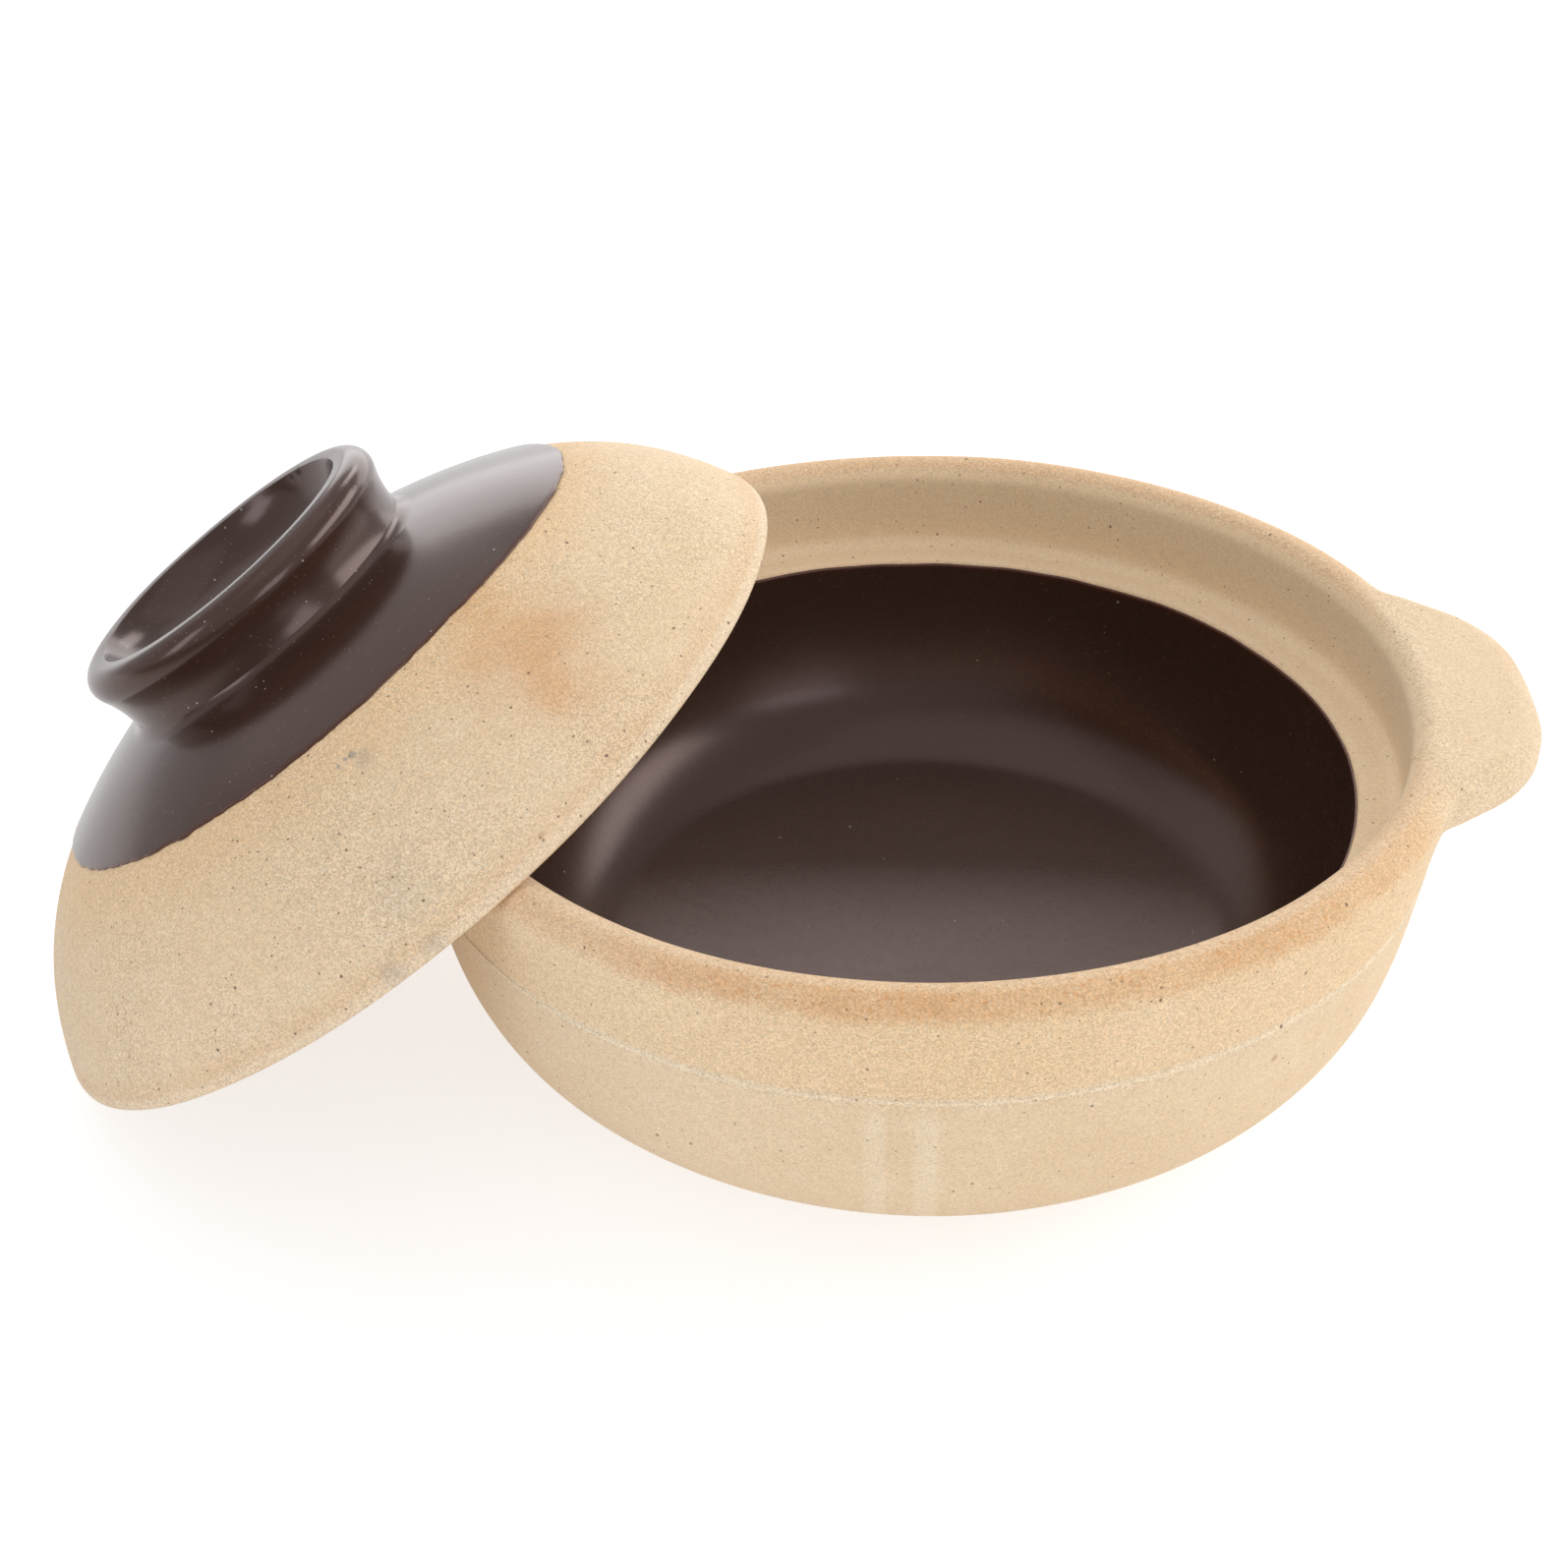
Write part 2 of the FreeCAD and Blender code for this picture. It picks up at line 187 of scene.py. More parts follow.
class Finish:
    # The nodes of one surface, with places on it read in millimetres on the piece's own axes.
    def __init__(self, name, middle=(0, 0, 0), turn=(0, 0, 0)):
        self.material = bpy.data.materials.new(name)
        self.material.use_nodes = True
        self.nodes = self.material.node_tree.nodes
        self.links = self.material.node_tree.links
        self.nodes.clear()
        bare = self.add("ShaderNodeTexCoord", output="Object")
        on_axes = self.add("ShaderNodeMapping", {"vector_type": "TEXTURE"}, {
            "Vector": bare,
            "Location": [size * 0.001 for size in middle],
            "Rotation": turn,
            "Scale": (0.001, 0.001, 0.001),
        })
        self.place = on_axes
        self.x, self.y, self.height = self.split(on_axes)
        self.radius = (self.x * self.x + self.y * self.y) ** 0.5

    def add(self, kind, settings=None, sockets=None, output=0):
        node = self.nodes.new(kind)
        for setting, value in (settings or {}).items():
            setattr(node, setting, value)
        for socket, value in (sockets or {}).items():
            if isinstance(value, Field):
                self.links.new(value.socket, node.inputs[socket])
            else:
                node.inputs[socket].default_value = value
        return Field(self, node.outputs[output])

    def split(self, vector):
        parts = self.add("ShaderNodeSeparateXYZ", sockets={0: vector}).socket.node
        return [Field(self, part) for part in parts.outputs]

    def cloud(self, size, detail=2.0, rough=0.5):
        # Soft noise from 0 to 1 whose patches are about size millimetres across.
        return self.add("ShaderNodeTexNoise", {}, {
            "Vector": self.place, "Scale": 1 / size, "Detail": detail, "Roughness": rough})

    def step(self, value, low, high, bottom=0.0, top=1.0):
        # Goes smoothly from bottom to top as the value goes from low to high.
        return self.add("ShaderNodeMapRange", {"interpolation_type": "SMOOTHSTEP"}, {
            "Value": value, "From Min": low, "From Max": high, "To Min": bottom, "To Max": top})

    def blend(self, share, under, over):
        under = under if isinstance(under, Field) else (*under, 1)
        over = over if isinstance(over, Field) else (*over, 1)
        return self.add("ShaderNodeMix", {"data_type": "RGBA"}, {0: share, 6: under, 7: over}, output=2)

    def grains(self, cell):
        # Grains of sand packed side by side: how far a place is from its grain's middle, in millimetres, and
        # two chance values of the grain's own.
        found = {"Vector": self.place, "Scale": 1 / cell, "Randomness": 1.0}
        near = self.add("ShaderNodeTexVoronoi", {}, found, output="Distance")
        chance = self.split(self.add("ShaderNodeTexVoronoi", {}, found, output="Color"))
        return near * cell, chance[0], chance[1]

    def spots(self, cell, size, share):
        # Round spots of about size millimetres, in that share of the cells of a scattered grid.
        near, pick, other = self.grains(cell)
        reach = size / 2 * (0.5 + other)
        return self.step(pick, share, share - 0.001) * self.step(near / reach, 1.25, 0.6)

    def shade(self, color, factor):
        # Makes a color lighter or darker by a factor that varies.
        return self.add("ShaderNodeVectorMath", {"operation": "SCALE"}, {0: color, "Scale": factor})

    def size_of(self, value):
        return self.add("ShaderNodeMath", {"operation": "ABSOLUTE"}, {0: value})

    def near(self, point, reach):
        # A soft patch round one point, with a torn edge.
        ends = {0: self.place, 1: point}
        apart = self.add("ShaderNodeVectorMath", {"operation": "DISTANCE"}, ends, output=1)
        torn = apart + (self.cloud(reach * 0.5, 3) - 0.5) * reach * 0.9
        return self.step(torn, reach, reach * 0.1)

    def bump(self, height, distance, strength=1.0, under=None):
        sockets = {"Strength": strength, "Distance": distance * 0.001, "Height": height}
        if under:
            sockets["Normal"] = under
        return self.add("ShaderNodeBump", {}, sockets)

    def done(self, color, roughness, normal, **fixed):
        sockets = {"Base Color": color, "Roughness": roughness, "Normal": normal, **fixed}
        shader = self.add("ShaderNodeBsdfPrincipled", {}, sockets)
        self.add_output(shader)
        return self.material

    def add_output(self, shader):
        output = self.nodes.new("ShaderNodeOutputMaterial")
        self.links.new(shader.socket, output.inputs["Surface"])


clay_color = (0.80, 0.61, 0.40)
clay_deep = (0.70, 0.49, 0.275)
clay_pale = (0.90, 0.78, 0.60)
grain_pale = (0.97, 0.91, 0.78)
grain_dark = (0.52, 0.34, 0.19)
toast_color = (0.68, 0.335, 0.13)
golden_color = (0.92, 0.585, 0.25)
speck_color = (0.16, 0.085, 0.045)
rust_color = (0.42, 0.17, 0.07)
grey_color = (0.34, 0.30, 0.26)


def bare_clay(finish, toasted, golden, sandy, greyed, paled, peppered):
    # Fired clay with sand in it. The masks say where it is toasted or golden, how sandy it is, and where it
    # is greyed or paled; on the pot, some of the paling is painted light. The last value is its share of
    # dark specks.
    drift = finish.cloud(42, 3)
    mottle = finish.cloud(5, 4, 0.6)
    fine = finish.cloud(0.28, 2, 0.75)
    away, lightness, kind = finish.grains(0.27)
    color = finish.blend(finish.step(drift, 0.35, 0.7) * 0.3, clay_color, clay_deep)
    color = finish.blend(finish.step(mottle, 0.45, 0.8) * 0.2, color, clay_pale)
    color = finish.blend(golden * finish.step(mottle, 0.2, 0.65, 0.8, 1.0), color, golden_color)
    color = finish.blend(toasted * finish.step(mottle, 0.2, 0.65, 0.75, 1.0), color, toast_color)
    color = finish.blend(paled, color, clay_pale)
    color = finish.blend(greyed, color, grey_color)
    color = finish.shade(color, 1 + ((lightness - 0.5) * 0.32 + (fine - 0.5) * 0.6) * sandy)
    color = finish.blend(finish.step(kind, 0.86, 0.9) * 0.34 * sandy, color, grain_dark)
    pale_grains = finish.step(kind, 0.12, 0.08) * 0.3 + finish.spots(0.8, 0.26, 0.4) * 0.35
    color = finish.blend(pale_grains * sandy * (1 - toasted * 0.8), color, grain_pale)
    color = finish.blend(finish.spots(1.5, 0.36, 0.5 * peppered) * 0.7, color, speck_color)
    color = finish.blend(finish.spots(3.0, 0.50, 0.36 * peppered) * 0.85, color, speck_color)
    color = finish.blend(finish.spots(14, 1.3, 0.5 * peppered) * 0.5, color, rust_color)
    roughness = finish.step(lightness, 0, 1, 0.88, 0.72)
    relief = finish.bump(fine * sandy, 0.17, 0.5)
    relief = finish.bump((lightness * 0.6 - away) * sandy, 0.18, 0.6, relief)
    relief = finish.bump(mottle, 0.2, 0.5, relief)
    return finish.done(color, roughness, relief)


# Two pale dribbles of slip dried on the pot's front: their places along X, and their half widths.
dribbles = ((-6.3, 2.4), (1.8, 2.6))


def pot_clay():
    # The flame has toasted the crest of the rim, most of all in front, and the wall inside it at the back.
    finish = Finish("buff_clay_of_pot")
    ragged = finish.cloud(6, 4, 0.6) - 0.5
    patchy = finish.step(finish.cloud(16, 3), 0.3, 0.65)
    to_front = finish.step(finish.y, -30, -85)
    to_back = finish.step(finish.y, -20, 80)
    off_lug = finish.step(finish.size_of(finish.x), 89, 80)
    crest = finish.step(finish.radius, 86.7, 88.5) * off_lug
    flash = crest * finish.step(finish.height + ragged * 3.5, 68.8, 72.0)
    by_glaze = finish.step(finish.radius + ragged, 80.2, 79.1) * finish.step(finish.height, 52.0, 53.6)
    collar = finish.step(finish.height, 51.9, 52.8) * finish.step(finish.radius, 90.8, 92) * off_lug
    inside = finish.step(finish.radius, 88.3, 86.8) * finish.step(finish.height, 53, 55)
    inner_wall = inside * finish.step(finish.height, 55.5, 60)
    outer_edge = finish.step(finish.radius, 90.6, 92.4) * to_front
    lug_tip = finish.step(finish.x, 102.5, 108) * finish.step(finish.y, -8, 12)
    toasted = flash * (0.27 + to_back * 0.12 + outer_edge * (0.12 + patchy * 0.26)) + by_glaze * 0.4
    toasted = toasted + finish.spots(1.2, 0.7, 0.6) * flash * to_front * 0.35 + lug_tip * 0.2
    golden = collar * 0.24 + inside * 0.18 + inner_wall * (0.08 + to_back * 0.25)
    under_lug = finish.step(finish.x, 96, 104) * finish.step(finish.height, 72.8, 70)
    below = finish.step(finish.height, 52.4, 50)
    on_lug = finish.step(finish.height, 72.9, 73.4) * finish.step(finish.x, 90, 96)
    sandy = 1 - inside * 0.5 - on_lug * 0.4
    sandy = sandy - below * 0.4 + under_lug * to_front * 0.6
    dribble = 0
    for middle, width in dribbles:
        from_middle = finish.size_of(finish.x - middle + ragged * 1.5)
        dribble = dribble + finish.step(from_middle, width, width * 0.4)
    dribble = dribble * finish.step(finish.height, 51.5, 48) * finish.step(finish.y, -60, -70) * 0.3
    # A thin pale line along the crease is a painted highlight, where the crease's little ledge catches the
    # light.
    crease_painted_highlight = finish.step(finish.size_of(finish.height - crease[1] + 0.2), 0.9, 0.2) * finish.step(
        finish.radius, 90, 91.5)
    greyed = finish.near((30, 90, 40), 8) * 0.1
    # Painted light: the bowl's left front, in the lid's shade, is paled as if lit.
    lid_shade_painted_light = finish.step(finish.x, -10, -70) * to_front
    # Inside the rim the clay is paled as well, as painted light lifting the shade there; the dribbles are
    # pale slip.
    paled = dribble + crease_painted_highlight * 0.5 + inside * 0.3 + lid_shade_painted_light * 0.3
    return bare_clay(finish, toasted, golden, sandy, greyed, paled, 0.5)


clay_of_pot = pot_clay()
collar_apart = math.hypot(crease[0] - rim_centre[0], crease[1] - rim_centre[1])
collar_bearing = bearing_of(rim_centre, crease) + math.degrees(math.acos(rim_round / collar_apart))
collar_top = on_circle(rim_centre, rim_round, collar_bearing)
wall_top = ledge_height - ledge_nose
wall_centre = (ledge_radius - wall_curve, wall_top)
floor_centre = (0, floor_thickness + floor_curve)
heel_centre = meeting_point(wall_centre, wall_curve - heel_curve, floor_centre, floor_curve - heel_curve, -1)
wall_end = bearing_of(wall_centre, heel_centre)
heel_end = bearing_of(floor_centre, heel_centre)
base_cut = base_edge_round * math.tan(math.radians(base_slope / 2))

bowl = Outline(0, 0)
bowl.line((base_radius - base_cut, 0), 20)
bowl.arc((base_radius - base_cut, base_edge_round), base_slope, 5)
bowl.bezier(bowl_lower_handle, bowl_upper_handle, (crease[0] + crease_step, crease[1] - crease_round), 62)
bowl.arc((crease[0] + crease_step - crease_round, crease[1] - crease_round), 65, 5)
bowl.line(collar_top, 15)
bowl.arc(rim_centre, 180 - collar_bearing, 26)
bowl.line((rim_inner_radius, ledge_height + ledge_cove), 10)
bowl.arc((rim_inner_radius - ledge_cove, ledge_height + ledge_cove), -90, 8)
bowl.line((ledge_radius + ledge_nose, ledge_height), 4)
bowl.arc((ledge_radius + ledge_nose, ledge_height - ledge_nose), 90, 7)
bowl.arc(wall_centre, wall_end, 16)
bowl.arc(heel_centre, heel_end - wall_end, 8)
bowl.arc(floor_centre, -90 - heel_end, 10)
bowl_mesh = bowl.thrown(bowl_columns)
hand_made(bowl_mesh)
finished(bowl_mesh, "clay_bowl", clay_of_pot, "pot", ["pot_body"])


# The lugs
# Each is a thick tab of the same clay, pressed on level with the rim's top and smoothed into it, so that no
# seam shows. From above it has a broad round tip, straight flanks and hollow roots.

lug_reach = rim_outer_radius + 13.7
lug_corner = 26.4
lug_flank_distance = rim_outer_radius - 12.6
lug_flank_slope = 37.8
lug_root_fillet = 18.0
lug_thickness = 10.3
lug_under_round = 3.8
lug_under_fillet = 5.0
lug_columns = 120
# Each lug stands a hair proud of the rim, is sunk into it inside, and melts into it near its roots.
lug_proud = 0.05
lug_sunk = 1.2
lug_melt = 2.5
lug_short_of_root = 1.8

flank_bearing = 90 - lug_flank_slope
corner_turn = math.degrees(math.acos((lug_flank_distance - lug_corner) / (lug_reach - lug_corner)))
corner_bearing = flank_bearing - corner_turn
corner_centre = on_circle((0, 0), lug_reach - lug_corner, corner_bearing)
root_distance = rim_outer_radius + lug_root_fillet
root_turn = math.degrees(math.acos((lug_flank_distance + lug_root_fillet) / root_distance))
root_bearing = flank_bearing - root_turn
root_centre = on_circle((0, 0), root_distance, root_bearing)
lug_half_angle = root_bearing - lug_short_of_root


def far_crossing(centre, radius, way, side):
    # How far along a ray from the pot's axis a circle is crossed, at its far (1) or near (-1) side.
    along = centre[0] * way[0] + centre[1] * way[1]
    aside = centre[0] * way[1] - centre[1] * way[0]
    return along + side * math.sqrt(max(radius ** 2 - aside ** 2, 0))


def lug_edge(bearing):
    # The point where a ray from the pot's axis leaves the lug's outline, and the way that the outline faces.
    upper = abs(bearing)
    way = on_circle((0, 0), 1, upper)
    flank_way = on_circle((0, 0), 1, flank_bearing)
    root_end = on_circle(root_centre, lug_root_fillet, flank_bearing + 180)
    corner_end = on_circle(corner_centre, lug_corner, flank_bearing)
    if upper >= root_bearing:
        reach, facing = rim_outer_radius, way
    elif upper >= bearing_of((0, 0), root_end):
        reach = far_crossing(root_centre, lug_root_fillet, way, -1)
        facing = [(root_centre[axis] - reach * way[axis]) / lug_root_fillet for axis in (0, 1)]
    elif upper >= bearing_of((0, 0), corner_end):
        reach = lug_flank_distance / (way[0] * flank_way[0] + way[1] * flank_way[1])
        facing = flank_way
    elif upper >= corner_bearing:
        reach = far_crossing(corner_centre, lug_corner, way, 1)
        facing = [(reach * way[axis] - corner_centre[axis]) / lug_corner for axis in (0, 1)]
    else:
        reach, facing = lug_reach, way
    mirror = math.copysign(1, bearing)
    edge = Vector((reach * way[0], mirror * reach * way[1], 0))
    return edge, Vector((facing[0], mirror * facing[1], 0)), reach - rim_outer_radius


def bare_radius(height):
    # The radius of the rim and collar where there is no lug.
    above = height - rim_centre[1]
    if height >= collar_top[1]:
        return rim_centre[0] + math.sqrt(max(rim_round ** 2 - above ** 2, 0))
    share = (height - crease[1]) / (collar_top[1] - crease[1])
    return crease[0] + share * (collar_top[0] - crease[0])


def bare_facing(point):
    # The way that the rim or collar faces where there is no lug.
    outwards = Vector((point.co.x, point.co.y, 0)).normalized()
    above = max(point.co.z - rim_centre[1], 0)
    return (outwards * math.sqrt(rim_round ** 2 - above ** 2) + Vector((0, 0, above))) / rim_round


def eased(share):
    # A share from 0 to 1 that starts and ends gently.
    return share * share * (3 - 2 * share)


def pull_out(point, facing_layer):
    # Brings a point from the section at full reach to its own bearing on the lug, which melts into the rim
    # over its first few millimetres.
    bearing = math.degrees(math.atan2(point.co.y, point.co.x))
    radius = math.hypot(point.co.x, point.co.y)
    height = point.co.z
    inner_radius = bare_radius(height)
    inner = Vector((*on_circle((0, 0), inner_radius + lug_proud, bearing), 0))
    edge, facing, length = lug_edge(bearing)
    rounding = rim_round if height > pot_height - lug_thickness / 2 else lug_under_round
    from_side = lug_reach - radius
    if from_side <= rounding:
        outer = edge - from_side * facing
    else:
        share = (radius - inner_radius) / (lug_reach - rounding - inner_radius)
        outer = inner.lerp(edge - rounding * facing, share)
    share = eased(min(length / lug_melt, 1))
    point[facing_layer] = bare_facing(point).lerp(point.normal, share)
    point.co = inner.lerp(outer, share)
    point.co.z = height


def lug(side, name, node):
    # The section is swept nearly to both roots, pulled out to the lug's outline, and sunk into the rim.
    section = Outline(rim_centre[0], pot_height)
    section.line((lug_reach - rim_round, pot_height), 14)
    section.arc((lug_reach - rim_round, pot_height - rim_round), -90, 9)
    underside = pot_height - lug_thickness
    section.line((lug_reach, underside + lug_under_round), 3)
    section.arc((lug_reach - lug_under_round, underside + lug_under_round), -90, 8)
    fillet_top = bare_radius(underside) + lug_under_fillet
    section.line((fillet_top, underside), 8)
    section.arc((fillet_top, underside - lug_under_fillet), 80, 8)
    section.line((bare_radius(underside - lug_under_fillet), underside - lug_under_fillet), 1)
    mesh = section.mesh
    to_first_side = Matrix.Rotation(math.radians(-lug_half_angle), 3, "Z")
    bmesh.ops.rotate(mesh, verts=mesh.verts, cent=(0, 0, 0), matrix=to_first_side)
    section.turned(2 * lug_half_angle, lug_columns)
    mesh.normal_update()
    facing_layer = mesh.verts.layers.float_vector.new("facing")
    tip = max(mesh.verts, key=lambda point: point.co.x)
    if tip.normal.x < 0:
        bmesh.ops.reverse_faces(mesh, faces=mesh.faces)
        mesh.normal_update()
    for point in mesh.verts:
        pull_out(point, facing_layer)
    for edge in mesh.edges:
        edge.smooth = not edge.is_boundary
    inside = bmesh.ops.extrude_face_region(mesh, geom=mesh.faces[:])["geom"]
    for point in inside:
        if isinstance(point, bmesh.types.BMVert):
            point.co -= lug_sunk * point[facing_layer]
    bmesh.ops.recalc_face_normals(mesh, faces=mesh.faces)
    if side < 0:
        half_turn = Matrix.Rotation(math.pi, 3, "Z")
        bmesh.ops.rotate(mesh, verts=mesh.verts, cent=(0, 0, 0), matrix=half_turn)
    hand_made(mesh)
    finished(mesh, name, clay_of_pot, "pot", [node])


lug(1, "lug_right", "handle_right")
lug(-1, "lug_left", "handle_left")


# The bowl's glaze
# A coat of dark brown glaze is poured inside and runs up to the ledge, where it ends in a thin rounded edge.
# It is satin rather than glassy, redder where it is thin, with a few fine pale specks.

# The coat stands on the clay, and its edge is sunk into it.
glaze_thickness = 0.4
glaze_sink = 0.3
glaze_body = (0.042, 0.019, 0.0122)
glaze_thin = (0.075, 0.022, 0.011)
glaze_cloudy = (0.052, 0.026, 0.018)
glaze_dust = (0.20, 0.12, 0.085)
glaze_speck = (0.55, 0.50, 0.46)
pit_shade_color = (0.006, 0.004, 0.004)


def brown_glaze(name, roughness, sheen, speckled, shaded_pits, middle=(0, 0, 0), turn=(0, 0, 0)):
    # The sheen tints what the glaze mirrors. Each pit is a place and its reach: it is dull, and painted dark
    # as the shade in its hollow.
    finish = Finish(name, middle, turn)
    from_edge = finish.add("ShaderNodeAttribute", {"attribute_name": "from_edge"}, {}, output="Fac")
    drift = finish.cloud(30, 3)
    mottle = finish.cloud(2.6, 4, 0.6)
    color = finish.blend(finish.step(drift, 0.35, 0.7) * 0.4, glaze_body, glaze_cloudy)
    color = finish.blend(finish.step(mottle, 0.5, 0.8) * 0.08, color, glaze_cloudy)
    color = finish.blend(finish.step(from_edge, 0.5, 0.1) * 0.6, color, glaze_thin)
    specks = finish.spots(2.4, 0.32, speckled)
    color = finish.blend(finish.spots(0.9, 0.30, speckled * 0.6) * 0.5, color, glaze_dust)
    color = finish.blend(specks * 0.7, color, glaze_speck)
    satin = finish.step(mottle, 0.3, 0.7, roughness - 0.005, roughness + 0.007) + specks * 0.3
    # Painted shade darkens each pit, and its glaze is duller.
    for place, reach in shaded_pits:
        pit_darkened = finish.near(place, reach * 1.3)
        color = finish.blend(pit_darkened, color, pit_shade_color)
        satin = satin + pit_darkened * 0.4
    relief = finish.bump(finish.cloud(0.9, 3, 0.6), 0.012, 0.5)
    relief = finish.bump(finish.cloud(11, 2), 0.12, 0.4, relief)
    return finish.done(color, satin, relief, **{"IOR": 1.65, "Specular Tint": (*sheen, 1)})


def measure_edge(mesh, from_edge):
    # Writes on every point how far it is from the coat's edge, for the thin red line there.
    layer = mesh.verts.layers.float.new("from_edge")
    for point in mesh.verts:
        point[layer] = from_edge(point.co)


lining = Outline(0, floor_thickness + glaze_thickness)
lining.arc(floor_centre, heel_end + 90, 26)
lining.arc(heel_centre, wall_end - heel_end, 22)
lining.arc(wall_centre, -wall_end, 56)
lining.arc((ledge_radius, wall_top), -90, 5)
lining.line((ledge_radius + glaze_sink, wall_top))
lining.arc(wall_centre, wall_end, 14)
lining.arc(heel_centre, heel_end - wall_end, 8)
lining.arc(floor_centre, -90 - heel_end, 8)
lining_mesh = lining.thrown(bowl_columns)


poured_fade = 8


def poured_wave(co):
    # The poured coat's edge runs a little up and down, with no start or end, and the wave fades out below.
    around = Vector((co.x, co.y, 0)).normalized()
    return 0.35 * noise.noise(around * 2.2) + 0.22 * noise.noise(around * 9 + Vector((5, 0, 0)))


for point in lining_mesh.verts:
    rise = min(max((point.co.z - wall_top + poured_fade) / poured_fade, 0), 1)
    point.co.z += poured_wave(point.co) * rise
measure_edge(lining_mesh, lambda co: wall_top + poured_wave(co) - co.z)
hand_made(lining_mesh)
glaze_in_bowl = brown_glaze("brown_glaze_of_bowl", 0.27, (1.0, 0.74, 0.68), 0.1, [])
finished(lining_mesh, "bowl_lining", glaze_in_bowl, "pot", ["pot_glaze"])


# The lid's dome
# A thrown dome of the same clay, about five and a half millimetres thick, with a rounded lip that is
# bevelled underneath. It leans with the lip on the pot's rim and on the table.

lid_radius = 83.65
lid_wall = 5.5
lip_round = 0.8
lip_bevel = 2.6
lip_curve = 4.2
crown_height = 0.53 * lid_radius
crown_curve = 1.524 * lid_radius
shoulder_curve = 0.726 * lid_radius
lid_columns = 380
lid_middle = (-95.511, 4.504, 48.401)
lid_tilt = math.radians(35.408)
lid_turn = math.radians(177.3)
lean = (
    Matrix.Translation(lid_middle) @ Matrix.Rotation(lid_turn, 4, "Z") @ Matrix.Rotation(lid_tilt, 4, "Y"))


def on_lid(mesh):
    bmesh.ops.transform(mesh, matrix=lean, verts=mesh.verts)
    return mesh


def lid_clay():
    # The flame has toasted a patch beside the coat, and the lip a little. Grey marks are rubbed in near it,
    # and the low side is a little greyer all over.
    finish = Finish("buff_clay_of_lid", lid_middle, (0, lid_tilt, lid_turn))
    ragged = finish.cloud(9, 4, 0.6) - 0.5
    patch = finish.near((-57, 40, 22), 17) * 0.66 + finish.near((-49, 30, 31), 8) * 0.3
    by_coat = finish.step(finish.radius + ragged * 8, 70, 58)
    far_patch = finish.near((-62.9, 48.2, 10.0), 12)
    at_lip = finish.step(finish.radius, 81.0, 83.0)
    toasted = patch + far_patch * 0.14 + at_lip * 0.16 + by_coat * 0.13
    golden = by_coat * (0.16 + finish.step(finish.x, -10, -50) * 0.14)
    marks_and_greyer_low_side = finish.near((-30.4, 55.9, 26.6), 3.0) * 0.35 + finish.near((-29.3, 72.9, 11), 9) * 0.16
    for mark, reach in (((-28.4, 55.0, 27.8), 1.1), ((-25.8, 56.3, 27.8), 0.7), ((-27.2, 55.4, 28.0), 0.6)):
        marks_and_greyer_low_side = marks_and_greyer_low_side + finish.near(mark, reach) * 0.8
    marks_and_greyer_low_side = marks_and_greyer_low_side + finish.near((-22.7, 80.1, 2.2), 4) * 0.3 + finish.near((-30.2, 77.6, 2.1), 3) * 0.3
    # The lid's low side, towards the table, is a little greyer all over.
    marks_and_greyer_low_side = marks_and_greyer_low_side + finish.step(finish.x, 10, 70) * 0.12
    sandy = finish.step(finish.cloud(30, 2), 0.35, 0.65, 0.75, 1.15)
    paled = finish.step(finish.radius, 83.0, 83.6) * 0.35
    return bare_clay(finish, toasted, golden, sandy, marks_and_greyer_low_side, paled, 0.9)


crown_centre = (0, crown_height - crown_curve)
lip_centre = (lid_radius - lip_curve, lip_round)
shoulder_centre = meeting_point(
    crown_centre, crown_curve - shoulder_curve, lip_centre, shoulder_curve - lip_curve, 1)
crown_bearing = bearing_of(crown_centre, shoulder_centre)
shoulder_bearing = bearing_of(shoulder_centre, lip_centre)
outer_lip = (lid_radius - lip_round, lip_round)
inner_lip_distance = shoulder_curve - lid_wall + lip_round
inner_lip_rise = lip_round + lip_bevel - shoulder_centre[1]
inner_lip_bearing = math.degrees(math.asin(inner_lip_rise / inner_lip_distance))
inner_lip = on_circle(shoulder_centre, inner_lip_distance, inner_lip_bearing)
under_bearing = bearing_of(outer_lip, inner_lip) - 270

dome = Outline(0, crown_height)
dome.arc(crown_centre, crown_bearing - 90, 46)
dome.arc(shoulder_centre, shoulder_bearing - crown_bearing, 34)
dome.arc(lip_centre, -shoulder_bearing, 8)
dome.arc(outer_lip, under_bearing, 8)
dome.line(on_circle(inner_lip, lip_round, under_bearing), 3)
dome.arc(inner_lip, inner_lip_bearing - 180 - under_bearing, 6)
dome.arc(shoulder_centre, crown_bearing - inner_lip_bearing, 34)
dome.arc(crown_centre, 90 - crown_bearing, 40)
dome_mesh = on_lid(dome.thrown(lid_columns))
hand_made(dome_mesh)
clay_dome = finished(dome_mesh, "clay_dome", lid_clay(), "lid", ["lid_shell"])


# The knob and its glaze
# The knob is a ring thrown on the crown like a small foot: a bead on top, a long hollow below it, and a low
# ridge at its root. Brown glaze covers it inside and out, and runs on over the crown to a brushed edge.
# Inside, the bead ends in a narrow flat lip with a crisp edge, where the round cup starts.

bead_round = 3.25
bead_centre = (29.25, crown_height + 10.15 - bead_round)
hollow_curve = 18.0
ridge_centre = (29.2, crown_height - 2.7)
ridge_round = 1.5
cove_round = 4.0
lip_bearing = 94.0
lip_width = 1.77
coat_edge_round = 0.25
edge_round = coat_edge_round - glaze_thickness
knob_floor_height = crown_height + 0.6
cup_curve = 14.0
crown_coat_radius = 55.4

